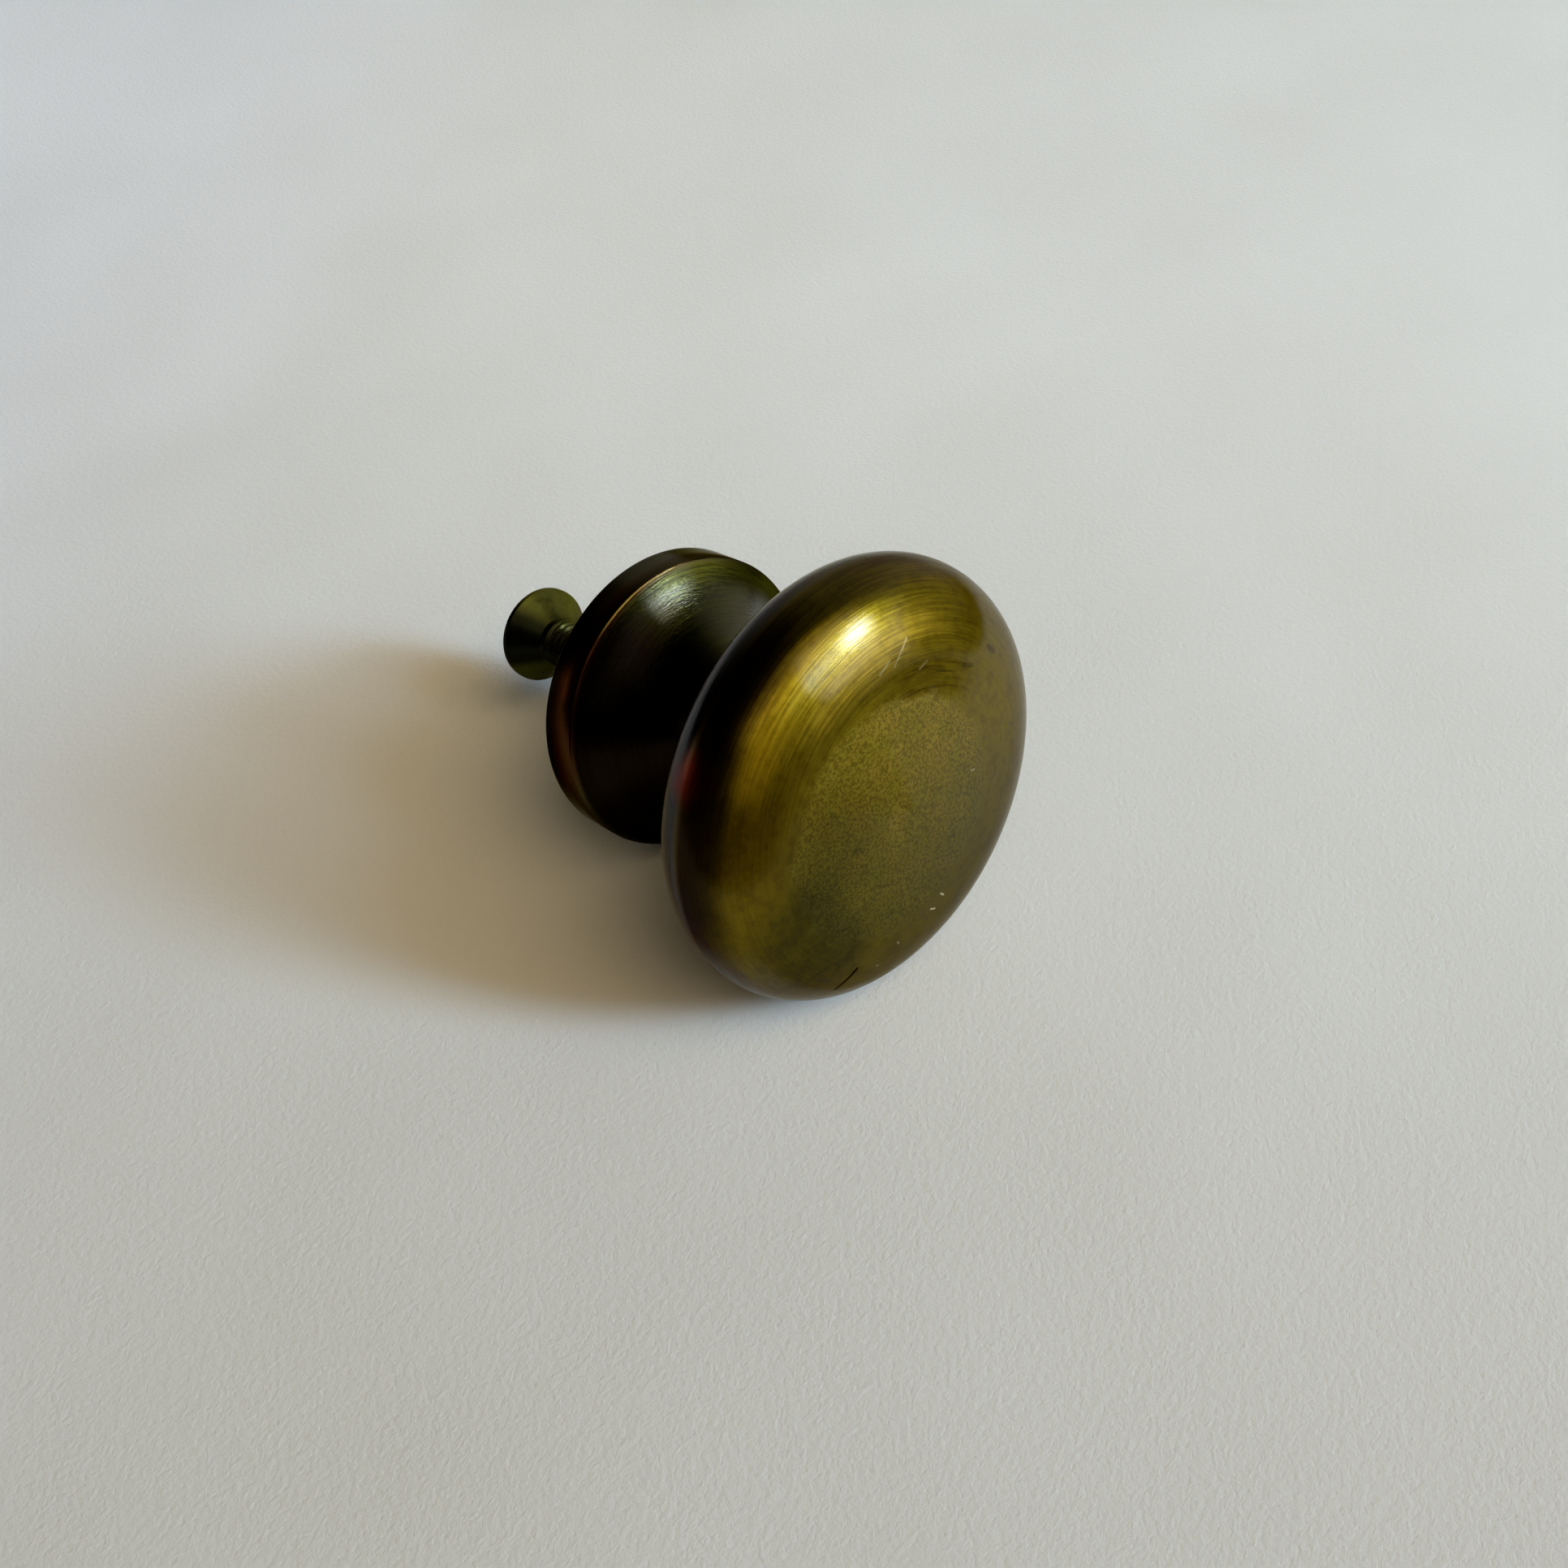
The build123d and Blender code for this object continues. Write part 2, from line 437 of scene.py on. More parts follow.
class Shader:
    """Builds the node tree of one material. Each method adds a node and returns its output."""

    def __init__(self, name):
        self.material = bpy.data.materials.new(name)
        self.material.use_nodes = True
        self.tree = self.material.node_tree
        self.surface = self.tree.nodes["Principled BSDF"]

    def node(self, kind, **settings):
        made = self.tree.nodes.new("ShaderNode" + kind)
        for key, value in settings.items():
            setattr(made, key, value)
        return made

    def put(self, socket, value):
        if isinstance(value, bpy.types.NodeSocket):
            self.tree.links.new(value, socket)
        elif isinstance(value, tuple) and len(value) == 3 and socket.type == "RGBA":
            socket.default_value = (*value, 1)
        else:
            socket.default_value = value

    def set(self, **inputs):
        """Gives the surface its values, with _ for a space in a socket's name."""
        for key, value in inputs.items():
            self.put(self.surface.inputs[key.replace("_", " ")], value)

    def math(self, operation, a, b=0.0):
        made = self.node("Math", operation=operation)
        self.put(made.inputs[0], a)
        self.put(made.inputs[1], b)
        return made.outputs[0]

    def product(self, first, *others):
        for other in others:
            first = self.math("MULTIPLY", first, other)
        return first

    def most(self, first, *others):
        for other in others:
            first = self.math("MAXIMUM", first, other)
        return first

    def inverse(self, share):
        return self.math("SUBTRACT", 1.0, share)

    def gap(self, a, b):
        return self.math("ABSOLUTE", self.math("SUBTRACT", a, b))

    def vector(self, x, y, z):
        made = self.node("CombineXYZ")
        for socket, value in zip(made.inputs, (x, y, z)):
            self.put(socket, value)
        return made.outputs[0]

    def geometry(self, operation, a, b, result="Value"):
        made = self.node("VectorMath", operation=operation)
        self.put(made.inputs[0], a)
        self.put(made.inputs[1], b)
        return made.outputs[result]

    def place(self):
        """The point on the object, in millimetres, as a vector and as x, y and z."""
        grown = self.node("VectorMath", operation="SCALE")
        self.put(grown.inputs[0], self.node("TexCoord").outputs["Object"])
        self.put(grown.inputs["Scale"], 1 / MM)
        parts = self.node("SeparateXYZ")
        self.put(parts.inputs[0], grown.outputs[0])
        return grown.outputs[0], *parts.outputs

    def attribute(self, name):
        return self.node("Attribute", attribute_name=name).outputs["Fac"]

    def noise(self, vector, scale, detail=2.0, roughness=0.5):
        made = self.node("TexNoise")
        self.put(made.inputs["Vector"], vector)
        self.put(made.inputs["Scale"], scale)
        self.put(made.inputs["Detail"], detail)
        self.put(made.inputs["Roughness"], roughness)
        return made.outputs["Fac"]

    def ramp(self, value, start, end, low=0.0, high=1.0):
        """low up to start, high from end on, and a smooth step between them."""
        made = self.node("MapRange", interpolation_type="SMOOTHSTEP")
        for socket, entry in zip(made.inputs, (value, start, end, low, high)):
            self.put(socket, entry)
        return made.outputs[0]

    def slope(self, value, start, end):
        """0 up to start, 1 from end on, and a straight rise between them."""
        made = self.node("MapRange")
        for socket, entry in zip(made.inputs, (value, start, end)):
            self.put(socket, entry)
        return made.outputs[0]

    def mix(self, share, a, b):
        """From colour a at share 0 to colour b at share 1."""
        made = self.node("Mix", data_type="RGBA")
        self.put(made.inputs[0], share)
        self.put(made.inputs[6], a)
        self.put(made.inputs[7], b)
        return made.outputs[2]

    def shade(self, share, colour, tint):
        """The colour at share 0, and its product with a tint at share 1."""
        made = self.node("Mix", data_type="RGBA", blend_type="MULTIPLY")
        self.put(made.inputs[0], share)
        self.put(made.inputs[6], colour)
        self.put(made.inputs[7], tint)
        return made.outputs[2]

    def spot(self, point, center, inner, outer):
        """1 within a distance of a place, falling to 0 at a greater one."""
        return self.ramp(self.geometry("DISTANCE", point, center), outer, inner)

    def stroke(self, point, start, end, width):
        """1 on the straight line from start to end, falling to 0 at a distance of width."""
        run = Vector(end) - Vector(start)
        offset = self.geometry("SUBTRACT", point, start, "Vector")
        share = self.math("DIVIDE", self.geometry("DOT_PRODUCT", offset, tuple(run)), run.length_squared)
        share.node.use_clamp = True
        foot = self.node("VectorMath", operation="SCALE")
        self.put(foot.inputs[0], tuple(run))
        self.put(foot.inputs["Scale"], share)
        return self.ramp(self.geometry("DISTANCE", offset, foot.outputs[0]), width, width / 3)

    def bump(self, height, distance, normal=None):
        made = self.node("Bump")
        self.put(made.inputs["Height"], height)
        self.put(made.inputs["Distance"], distance)
        if normal is not None:
            self.put(made.inputs["Normal"], normal)
        return made.outputs["Normal"]


class KnobPlan:
    """Where a point lies on the knob, in millimetres, and the patterns that the finish is made from."""

    def __init__(self, s):
        self.place, self.x, y, self.z = s.place()
        self.flat = s.vector(self.x, 0.0, self.z)
        self.radius = s.geometry("DISTANCE", self.flat, (0, 0, 0))
        self.forward = s.math("MULTIPLY", y, -1.0)
        self.upward = s.math("DIVIDE", self.z, self.radius)
        self.across = s.math("DIVIDE", self.x, self.radius)
        self.station = s.attribute("station")
        self.lanes = self.turned(s, 1.4, 2.6)
        self.lines = self.turned(s, 2.6, 7.0)
        self.nicks = self.turned(s, 14.0, 6.5)
        self.blotch = s.noise(self.place, 0.22, 3.0)
        self.cloud = s.noise(self.place, 0.55, 3.0, 0.6)
        self.mottle = s.noise(self.place, 1.1, 4.0, 0.65)
        self.grain = s.noise(self.place, 5.0, 3.0, 0.7)
        self.ahead = s.ramp(self.forward, WIDEST_PLANE / MM - 0.5, WIDEST_PLANE / MM + 0.5)

    def turned(self, s, around, along):
        """Streaks that run round the axis, as a lathe and a polishing wheel leave them."""
        turn = s.vector(s.product(self.across, around), s.product(self.upward, around),
                        s.product(self.station, along))
        return s.noise(turn, 1.0, 4.0, 0.6)

    def side(self, s, angle, start, end, low=0.0, high=1.0):
        """low up to start and high from end on. What is compared with them is 1 on the side of the knob
        that the angle names, and -1 on the opposite side."""
        across = s.product(self.across, cos(radians(angle)))
        share = s.math("ADD", across, s.product(self.upward, sin(radians(angle))))
        return s.ramp(share, start, end, low, high)

    def line(self, s, ends, width):
        """1 on a line of the pulled face, which two points (x, z) end, and 0 beside it."""
        (x1, z1), (x2, z2) = ends
        return s.stroke(self.flat, (x1, 0, z1), (x2, 0, z2), width)


def scratches(s, plan, lines, width=SCRATCH_WIDTH):
    """1 on scratches of the pulled face and 0 beside them."""
    strokes = [plan.line(s, ends, width) for ends in lines]
    return s.product(s.most(0.0, *strokes), plan.ahead)


def matte_disc(s, plan):
    """1 on the flat of the pulled face, where the finish is matte, with a wandering edge."""
    off_center = s.geometry("DISTANCE", plan.flat, DISC_CENTER)
    reach = s.math("ADD", off_center, s.product(plan.cloud, DISC_WANDER))
    return s.product(plan.ahead, s.ramp(reach, DISC_OUTER, DISC_INNER))


def dark_rim(s, plan):
    """1 on the front of the head's rim, which reaches further in on one side."""
    reach = s.math("ADD", plan.radius, plan.side(s, BROAD_RIM_SIDE, 0.55, 0.9, 0.0, RIM_BROADER))
    return s.product(s.ramp(s.math("ADD", reach, plan.blotch), RIM_INNER, RIM_OUTER), plan.ahead)


def shoulder_colour(s, plan):
    """Rubbed gold in turned lines, with a darker brush on top and a browner left."""
    golden = s.mix(s.ramp(plan.lines, 0.3, 0.7), GOLD_DARK, GOLD_LIGHT)
    brushed = s.product(s.ramp(plan.lines, 0.56, 0.40), plan.side(s, BRUSHED_SIDE, 0.5, 0.95))
    golden = s.shade(brushed, golden, BRUSH_TINT)
    golden = s.shade(s.ramp(plan.mottle, 0.45, 0.62), golden, MOTTLE_TINT)
    return s.shade(s.ramp(plan.x, -6.0, -13.0), golden, LEFT_TINT)


def disc_colour(s, plan):
    """Mottled olive-brown, with painted light that makes it lighter towards the top."""
    crown = s.mix(s.ramp(plan.cloud, 0.3, 0.7), CROWN_DARK, CROWN_LIGHT)
    # Painted light: lighter towards the top.
    crown = s.shade(s.ramp(plan.z, -2.0, 7.0), crown, TOP_PAINTED_LIGHT_TINT)
    return s.shade(s.ramp(plan.grain, 0.42, 0.60), crown, GRAIN_TINT)


def front_colour(s, plan, disc):
    """The pulled face: golden where rubbed, brown on the matte disc, darker below with painted shade,
    stained at the left.
    """
    colour = s.mix(disc, shoulder_colour(s, plan), disc_colour(s, plan))
    # Painted shade: darker towards the bottom, broken up by blotches.
    low = s.ramp(s.math("ADD", plan.z, s.product(plan.blotch, 6.0)), 8.0, -6.0)
    colour = s.shade(low, colour, LOW_PAINTED_SHADE_TINT)
    patchy = s.ramp(plan.cloud, 0.2, 0.6, 0.5, 1.0)
    left = s.product(s.spot(plan.flat, LEFT_SPOT, LEFT_SPOT_INNER, LEFT_SPOT_OUTER), patchy)
    colour = s.shade(left, colour, LEFT_SPOT_TINT)
    stain = s.product(plan.line(s, STAIN, STAIN_WIDTH), patchy)
    colour = s.shade(stain, colour, STAIN_TINT)

    # Fine dark rings at the upper right, where a tool has slipped on the lathe.
    rings = s.product(plan.side(s, RING_SIDE, 0.82, 1.0), s.ramp(plan.radius, 7.8, 8.6))
    rings = s.product(rings, s.ramp(plan.radius, 11.0, 10.0), s.ramp(plan.lines, 0.5, 0.6))
    return s.shade(rings, colour, RING_TINT)


def back_colour(s, plan):
    """The neck and the base: black-brown oxide in turned streaks, olive on the right, partly as a painted
    sheen, and blackest at the upper left as painted shade, with a plain finish below and on the flat back."""
    oxide = s.mix(plan.blotch, OXIDE_BLACK, OXIDE_BROWN)
    # The olive on the right is partly a painted sheen.
    oxide = s.mix(plan.side(s, OLIVE_SIDE, 0.30, 0.92), oxide, OLIVE_OXIDE_AND_SHEEN)
    # Painted shade: blackest at the upper left.
    black = s.product(plan.side(s, SHADED_COVE_SIDE, 0.75, 0.95), s.ramp(plan.forward, 3.0, 3.3))
    oxide = s.shade(black, oxide, COVE_PAINTED_SHADE_TINT)
    oxide = s.shade(s.ramp(plan.forward, 3.0, 2.7), oxide, BASE_TINT)
    oxide = s.mix(plan.side(s, UNSEEN_SIDE, 0.5, 0.9), oxide, UNSEEN_BROWN)
    oxide = s.shade(s.ramp(plan.lines, 0.4, 0.65), oxide, STREAK_TINT)
    flat_back = s.mix(s.ramp(plan.lines, 0.3, 0.7), BACK_DARK, BACK_LIGHT)
    return s.mix(s.ramp(plan.forward, 0.10, 0.02), oxide, flat_back)


def with_rim(s, plan, colour, rim, red):
    """The rim is darker, partly dark oxide and partly painted shade, most of all at the left, where a
    red-brown patch is a painted reflection.
    """
    colour = s.shade(rim, colour, RIM_TINT)
    # Partly dark oxide, partly painted shade, strongest at the left.
    rim_oxide_and_shade = s.product(rim, plan.side(s, SHADED_RIM_SIDE, 0.62, 0.88))
    colour = s.shade(rim_oxide_and_shade, colour, SHADED_RIM_TINT)
    # A painted reflection of a red thing, on the left of the rim.
    return s.mix(s.product(red, s.ramp(plan.cloud, 0.3, 0.6, 0.5, 1.0)), colour, RIM_RED_REFLECTION)


def with_base_edge(s, plan, colour):
    """The front edge of the base: painted shade darkens it, a thin broken line of worn metal and painted
    highlight lightens its top, and a brown band lies behind it, red at the left as a painted reflection.
    """
    edge = s.math("ADD", s.gap(plan.forward, BASE_THICKNESS / MM), s.gap(plan.radius, BASE_RADIUS / MM))
    # The band turns red at the left: a painted reflection.
    brown = s.mix(plan.side(s, RED_REFLECTION_EDGE_SIDE, 0.55, 0.95), EDGE_BROWN, EDGE_RED_REFLECTION)
    behind = s.math("ADD", edge, s.ramp(plan.forward, 2.9, 3.2, 0.0, 2.4))
    colour = s.mix(s.ramp(s.math("ADD", behind, plan.cloud), 3.0, 1.0), colour, brown)
    # Painted shade darkens the edge all round.
    corner = s.ramp(s.math("ADD", edge, plan.lanes), 0.64, 0.50)
    colour = s.shade(corner, colour, CORNER_PAINTED_SHADE_TINT)
    # Worn metal and a painted highlight, on the top of the edge only.
    worn = s.product(corner, plan.side(s, WORN_AND_LIT_EDGE_SIDE, 0.88, 0.99))
    return s.mix(worn, colour, EDGE_WORN_AND_HIGHLIGHT)


def with_marks(s, plan, colour, cuts):
    """The scratches, specks and dents of the pulled face."""
    colour = s.mix(scratches(s, plan, LIGHT_SCRATCHES), colour, BARE_METAL)
    colour = s.mix(scratches(s, plan, SPECKS), colour, SPECK_PALE)
    colour = s.mix(scratches(s, plan, FAINT_SPECKS), colour, SPECK_FAINT)
    colour = s.mix(cuts, colour, CUT_BLACK)
    return s.shade(scratches(s, plan, DENTS, DENT_WIDTH), colour, DENT_TINT)


def knob_relief(s, plan, disc):
    """Polishing lines, nicks in the cove, the worn front edge of the base and the grain of the disc."""
    normal = s.bump(s.product(plan.lines, s.inverse(disc)), LINE_HEIGHT)
    in_cove = s.product(s.ramp(plan.forward, 2.9, 3.3), s.ramp(plan.forward, 8.0, 5.0, 0.2, 1.0))
    in_cove = s.product(in_cove, s.inverse(plan.ahead))
    normal = s.bump(s.product(plan.nicks, in_cove), NICK_HEIGHT, normal)
    over = s.slope(plan.forward, EDGE_WEAR_START, BASE_THICKNESS / MM)
    normal = s.bump(s.inverse(s.product(over, over)), EDGE_WEAR, normal)
    return s.bump(s.product(plan.grain, disc), GRAIN_HEIGHT, normal)


def face_lacquer(s, plan, disc, rim, red):
    """The lacquer of the head's front: thin at the left and below, and rubbed off right of the top."""
    face = s.product(s.ramp(plan.x, -12.0, 10.0, 0.16, 0.58), s.ramp(rim, 0.0, 1.0, 1.0, 0.5))
    face = s.product(face, s.ramp(plan.z, -13.5, 0.0, 0.62, 1.0))
    face = s.product(face, plan.side(s, THIN_LACQUER_SIDE, 0.85, 0.98, 1.0, 0.4))
    below = plan.side(s, LOW_LACQUER_SIDE, 0.75, 0.97, 0.0, 0.42)
    below = s.product(s.ramp(plan.radius, 13.2, 14.6), below)
    whole = plan.line(s, WHOLE_STREAK, WHOLE_STREAK_WIDTH)
    face = s.ramp(whole, 0.0, 1.0, s.most(face, below), 1.0)
    arc = s.product(s.ramp(plan.radius, 10.8, 10.0), plan.side(s, RUBBED_SIDE, 0.6, 0.9), s.inverse(disc))
    rubbed = s.most(arc, plan.line(s, RUBBED_STREAK, RUBBED_STREAK_WIDTH), red)
    return s.product(face, s.ramp(rubbed, 0.0, 1.0, 1.0, 0.2))


def back_lacquer(s, plan):
    """The lacquer behind the rim: whole on top of the cove and at its right, half worn under the head."""
    above = plan.side(s, COVE_LACQUER_SIDE, 0.962, 0.992, 0.05, 1.0)
    above = s.product(above, s.ramp(plan.forward, 3.3, 3.65, 0.35, 1.0))
    above = s.product(above, s.ramp(plan.forward, 4.9, 4.3, 0.1, 1.0))
    inner = s.product(s.ramp(plan.forward, 3.3, 4.6), plan.side(s, OLIVE_SIDE, 0.66, 0.92, 0.03, 0.9))
    return s.ramp(plan.forward, 13.0, 16.0, s.most(above, inner), 0.5)


def knob_material():
    """Antique brass under clear lacquer: dark in the neck and on the rim, golden on the pulled face."""
    s = Shader("aged_brass")
    plan = KnobPlan(s)
    disc = matte_disc(s, plan)
    rim = dark_rim(s, plan)
    # Where the painted red reflection lies on the rim.
    red = s.spot(plan.place, RED_REFLECTION_PATCH, RED_REFLECTION_INNER, RED_REFLECTION_OUTER)
    cuts = scratches(s, plan, DARK_SCRATCHES, CUT_WIDTH)

    colour = s.mix(plan.ahead, back_colour(s, plan), front_colour(s, plan, disc))
    colour = with_rim(s, plan, colour, rim, red)
    colour = with_base_edge(s, plan, colour)
    colour = with_marks(s, plan, colour, cuts)
    rough = s.ramp(plan.lanes, 0.3, 0.7, *TURNED_ROUGHNESS)
    rough = s.math("ADD", rough, s.product(plan.ahead, FACE_ROUGHER))
    rough = s.math("ADD", rough, s.product(disc, DISC_ROUGHER))
    lacquer = s.ramp(plan.ahead, 0.0, 1.0, back_lacquer(s, plan), face_lacquer(s, plan, disc, rim, red))
    lacquer = s.product(lacquer, s.inverse(cuts))
    normal = knob_relief(s, plan, disc)
    s.set(Base_Color=colour, Metallic=1.0, Roughness=rough, Normal=normal, Specular_Tint=GLANCING_TINT,
          Coat_Weight=lacquer, Coat_IOR=LACQUER_IOR, Coat_Roughness=LACQUER_ROUGHNESS, Coat_Normal=normal)
    return s.material


def screw_material():
    """Dull olive brass, turned black on the left by painted shade so that only the lit upper right stays
    olive, with a painted reflection of the paper low on the head and painted shade in the grooves of the
    thread.
    """
    s = Shader("screw_brass")
    place, x, y, z = s.place()
    radius = s.geometry("DISTANCE", s.vector(x, 0.0, z), (0, 0, 0))
    blotch = s.noise(place, 1.2, 3.0)
    olive = s.mix(blotch, SCREW_OLIVE_DARK, SCREW_OLIVE_LIGHT)
    # Painted light and shade: olive on the lit upper right, black on the left.
    lit_side = s.math("ADD", s.product(x, 0.7), s.product(z, 0.7))
    colour = s.mix(s.ramp(lit_side, 0.5, 2.9), SCREW_PAINTED_SHADE, olive)
    # A painted reflection of the paper, low on the head.
    foot = s.product(s.ramp(z, -0.4, -1.6), s.ramp(y, 12.5, 13.5))
    colour = s.mix(foot, colour, SCREW_PAINTED_LOW_REFLECTION)
    # Painted shade in the grooves of the thread.
    groove_shade = s.ramp(radius, SHANK_RADIUS / MM, (SHANK_RADIUS - THREAD_DEPTH) / MM)
    s.set(Base_Color=s.mix(groove_shade, colour, GROOVE_PAINTED_SHADE), Metallic=1.0, Specular_Tint=GLANCING_TINT,
          Roughness=s.ramp(blotch, 0.3, 0.7, *SCREW_ROUGHNESS), Normal=s.bump(blotch, SCREW_RELIEF),
          Coat_Weight=SCREW_LACQUER, Coat_IOR=SCREW_LACQUER_IOR, Coat_Roughness=SCREW_LACQUER_ROUGHNESS)
    return s.material


def paper_material():
    """Pale paper with a fine tooth and a slight wave, painted shade that darkens it towards the camera and
    painted bluish skylight at the left. It can be seen through from below.
    """
    s = Shader("paper")
    place, *_ = s.place()
    fibres = s.noise(place, 2.2, 4.0, 0.65)
    wave = s.noise(place, 0.014, 2.0)
    # Painted shade: the paper is darker towards the camera and lighter beyond.
    beyond = s.ramp(s.geometry("DOT_PRODUCT", place, tuple(AWAY + RIGHT * 0.3)), -100.0, 110.0)
    # Painted skylight: the paper turns bluer towards the left.
    skylit_left = s.ramp(s.geometry("DOT_PRODUCT", place, tuple(RIGHT)), -20.0, -90.0)
    colour = s.shade(skylit_left, s.mix(beyond, PAPER_NEAR_SHADED, PAPER_FAR_LIT), PAPER_SKYLIGHT_TINT)
    normal = s.bump(fibres, FIBRE_HEIGHT, s.bump(wave, PAPER_WAVE))
    s.set(Base_Color=colour, Roughness=0.95, Specular_IOR_Level=0.2, Normal=normal)
    one_sided(s)
    return s.material


def table_material():
    """Dark wood, which can also be seen through from below."""
    s = Shader("table")
    place, *_ = s.place()
    grain = s.noise(place, 0.03, 4.0)
    s.set(Base_Color=s.mix(grain, WOOD_DARK, WOOD_LIGHT), Roughness=0.6)
    one_sided(s)
    return s.material


def one_sided(s):
    """Lets the light through from the back of a sheet, so that views from below show the object."""
    front = s.node("MixShader")
    s.put(front.inputs[0], s.node("NewGeometry").outputs["Backfacing"])
    s.put(front.inputs[1], s.surface.outputs[0])
    s.put(front.inputs[2], s.node("BsdfTransparent").outputs[0])
    s.put(s.tree.nodes["Material Output"].inputs["Surface"], front.outputs[0])


def paper_tilt():
    """The slope of the paper: the knob lies on the back edge of its base and on the rim of its head."""
    drop = HEAD_RADIUS - UNDERSIDE_RADIUS - BASE_RADIUS
    return atan2(drop, WIDEST_PLANE) + asin(UNDERSIDE_RADIUS / hypot(WIDEST_PLANE, drop))


UP = Vector((0, -sin(paper_tilt()), cos(paper_tilt())))
RIGHT = (CAMERA_AIM - CAMERA_PLACE).cross(UP).normalized()
AWAY = UP.cross(RIGHT)
CONTACT = Vector((0, 0, -BASE_RADIUS))


def on_floor(right, away, height=0.0):
    """A point over the paper, so far right of the base and so far beyond it, as the camera sees them."""
    return CONTACT + RIGHT * right + AWAY * away + UP * height


def toward(azimuth, elevation):
    """A direction in the room, its azimuth counted from straight away from the camera towards the right."""
    level = AWAY * cos(radians(azimuth)) + RIGHT * sin(radians(azimuth))
    return level * cos(radians(elevation)) + UP * sin(radians(elevation))


def make_sheet(name, corners, drop, material):
    """A flat sheet of the stage, in the plane that the knob lies on or a little under it."""
    points = [on_floor(right, away, -drop) for right, away in corners]
    mesh = bpy.data.meshes.new(name)
    mesh.from_pydata(points, [], [tuple(range(len(points)))])
    mesh.materials.append(material)
    sheet = bpy.data.objects.new(name, mesh)
    bpy.context.scene.collection.objects.link(sheet)
    return sheet


def make_floor():
    """The sheet of paper, whose right edge lies just outside the picture, and pale floor all round it.
    The metal mirrors the paper and, in place of the floor, a darker table."""
    pale = paper_material()
    make_sheet("paper", PAPER_CORNERS, 0.0, pale)
    table = make_sheet("table", FLOOR_CORNERS, TABLE_DROP, table_material())
    table.visible_camera = False
    table.visible_diffuse = False
    table.visible_shadow = False
    floor = make_sheet("floor", FLOOR_CORNERS, FLOOR_DROP, pale)
    floor.visible_glossy = False


def aim(obj, place, target):
    """Puts a camera or lamp at a place, looking at a target, with its top away from the paper."""
    forward = (target - place).normalized()
    right = forward.cross(UP).normalized()
    top = right.cross(forward)
    turn = Matrix((right, top, -forward)).transposed()
    obj.matrix_world = Matrix.Translation(place) @ turn.to_4x4()


def make_camera():
    data = bpy.data.cameras.new("camera")
    data.sensor_width = SENSOR
    data.lens = SENSOR * FOCAL_PIXELS / IMAGE_SIDE
    data.clip_start = NEAREST
    camera = bpy.data.objects.new("camera", data)
    bpy.context.scene.collection.objects.link(camera)
    aim(camera, CAMERA_PLACE, CAMERA_AIM)
    bpy.context.scene.camera = camera


def make_lamp(name, at, size, radiance, colour):
    """A soft-edged oval lamp that looks at the knob from an azimuth and elevation. Its width and height
    are angles, as seen from the knob, and its power follows from how bright its middle is."""
    width, height = size
    data = bpy.data.lights.new(name, "AREA")
    data.shape = "ELLIPSE"
    data.size = 2 * LAMP_DISTANCE * tan(radians(width / 2))
    data.size_y = 2 * LAMP_DISTANCE * tan(radians(height / 2))
    data.energy = radiance * pi * data.size * data.size_y
    data.color = colour
    data.use_nodes = True
    tree = data.node_tree
    middle_off = tree.nodes.new("ShaderNodeVectorMath")
    middle_off.operation = "DISTANCE"
    middle_off.inputs[1].default_value = (0.5, 0.5, 0)
    fade = tree.nodes.new("ShaderNodeMapRange")
    fade.interpolation_type = "SMOOTHSTEP"
    fade.inputs["From Min"].default_value = LAMP_EDGE
    fade.inputs["From Max"].default_value = LAMP_CORE
    tree.links.new(tree.nodes.new("ShaderNodeNewGeometry").outputs["Parametric"], middle_off.inputs[0])
    tree.links.new(middle_off.outputs["Value"], fade.inputs["Value"])
    tree.links.new(fade.outputs[0], tree.nodes["Emission"].inputs["Strength"])
    lamp = bpy.data.objects.new(name, data)
    lamp.visible_camera = False
    bpy.context.scene.collection.objects.link(lamp)
    middle = Vector((0, -PROJECTION / 2, 0))
    aim(lamp, middle + toward(*at) * LAMP_DISTANCE, middle)
    return lamp


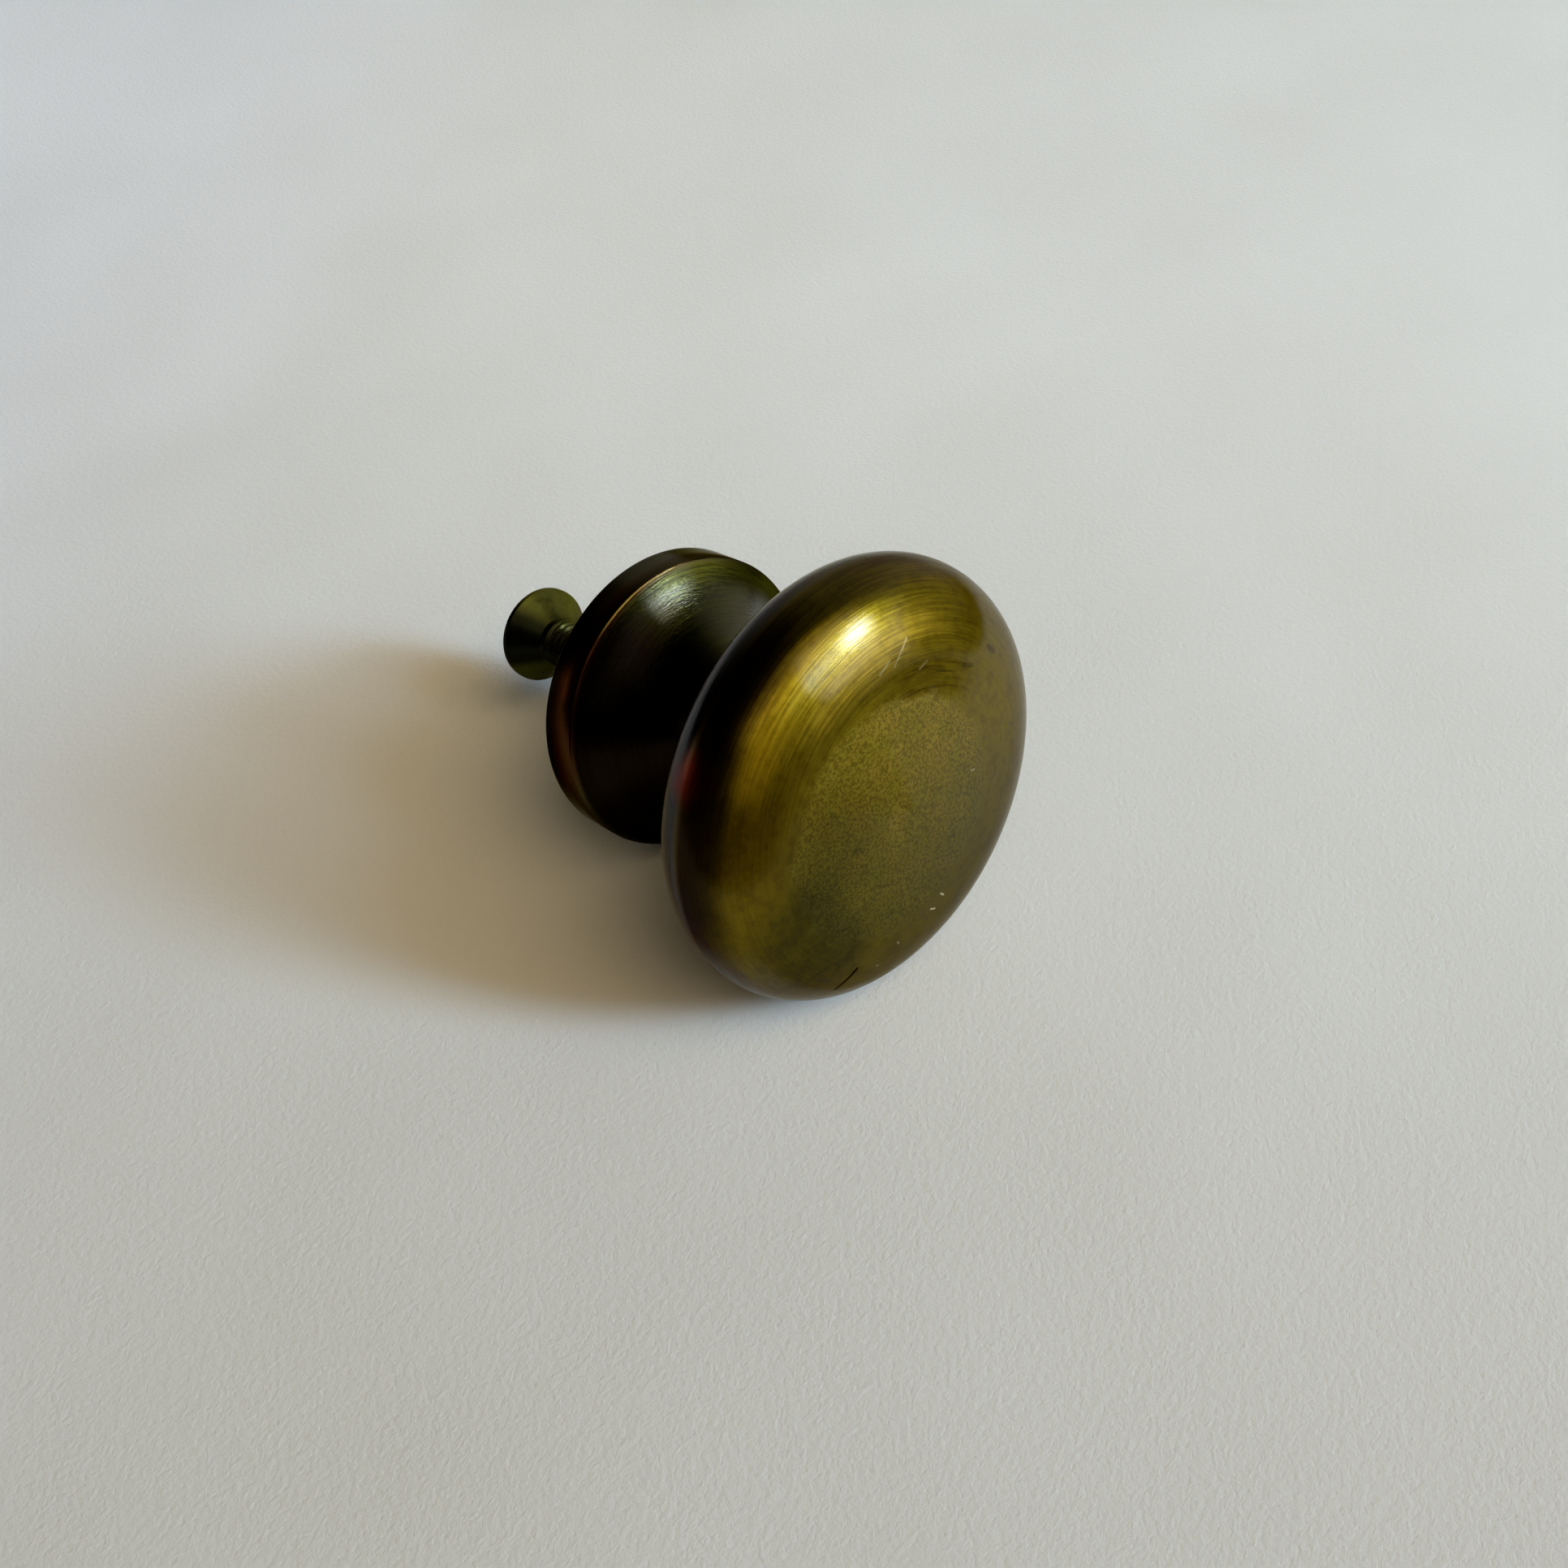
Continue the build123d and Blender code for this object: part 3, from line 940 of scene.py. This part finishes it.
def make_room(bright_side, bright, dark):
    """A dim room as the background: bright low down on one side, dark above and on the other side."""
    world = bpy.data.worlds.new("room")
    world.use_nodes = True
    tree = world.node_tree
    direction = tree.nodes.new("ShaderNodeTexCoord").outputs["Generated"]

    def along(axis, start, end):
        """0 up to start and 1 from end on, for the share of the direction that lies along an axis."""
        facing = tree.nodes.new("ShaderNodeVectorMath")
        facing.operation = "DOT_PRODUCT"
        facing.inputs[1].default_value = axis
        share = tree.nodes.new("ShaderNodeMapRange")
        share.interpolation_type = "SMOOTHSTEP"
        share.inputs["From Min"].default_value = start
        share.inputs["From Max"].default_value = end
        tree.links.new(direction, facing.inputs[0])
        tree.links.new(facing.outputs["Value"], share.inputs["Value"])
        return share.outputs[0]

    both = tree.nodes.new("ShaderNodeMath")
    both.operation = "MULTIPLY"
    tree.links.new(along(bright_side, 0.1, 0.9), both.inputs[0])
    tree.links.new(along(UP, 1.6, 0.0), both.inputs[1])
    colour = tree.nodes.new("ShaderNodeMix")
    colour.data_type = "RGBA"
    colour.inputs[6].default_value = (*dark, 1)
    colour.inputs[7].default_value = (*bright, 1)
    tree.links.new(both.outputs[0], colour.inputs[0])
    tree.links.new(colour.outputs[2], tree.nodes["Background"].inputs["Color"])
    bpy.context.scene.world = world


def dress(piece, material, node):
    """Gives a piece its material and puts it in place of a node of the frame."""
    piece.data.materials.append(material)
    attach(piece, "root")
    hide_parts(node)


def make_lamps():
    """One set of lamps lights the paper and makes the shadow, the other is what the metal mirrors."""
    on_paper = (
        make_lamp("window light", at=(106, 28), size=(18, 20), radiance=43.0, colour=SKYLIGHT),
        make_lamp("high window light", at=(106, 42), size=(18, 20), radiance=12.0, colour=SKYLIGHT),
        make_lamp("room light", at=(141, 57), size=(80, 60), radiance=2.4, colour=WARM_WALL),
    )
    for lamp in on_paper:
        lamp.visible_glossy = False
    mirrored = (
        make_lamp("window", at=(98, 36), size=(18, 14), radiance=20.0, colour=DAYLIGHT),
        make_lamp("window band", at=(115, 37), size=(56, 15), radiance=3.8, colour=BESIDE_WINDOW),
        make_lamp("window column", at=(101, 17), size=(60, 44), radiance=2.0, colour=UNDER_WINDOW),
        make_lamp("ceiling", at=(140, 57), size=(90, 48), radiance=1.5, colour=WARM_CEILING),
        make_lamp("fill", at=(154, 27), size=(62, 46), radiance=0.55, colour=WARM_FILL),
        make_lamp("side light", at=(-87, 4), size=(26, 26), radiance=0.75, colour=WARM_SIDE),
    )
    for lamp in mirrored:
        lamp.visible_diffuse = False


def build():
    dress(make_knob(), knob_material(), "knob")
    dress(make_screw(), screw_material(), "fixing_screw")
    make_floor()
    make_camera()
    make_lamps()
    make_room(toward(ROOM_BRIGHT_AZIMUTH, 0), ROOM_BRIGHT, ROOM_DARK)
    bpy.context.scene.view_settings.view_transform = "Standard"


build()
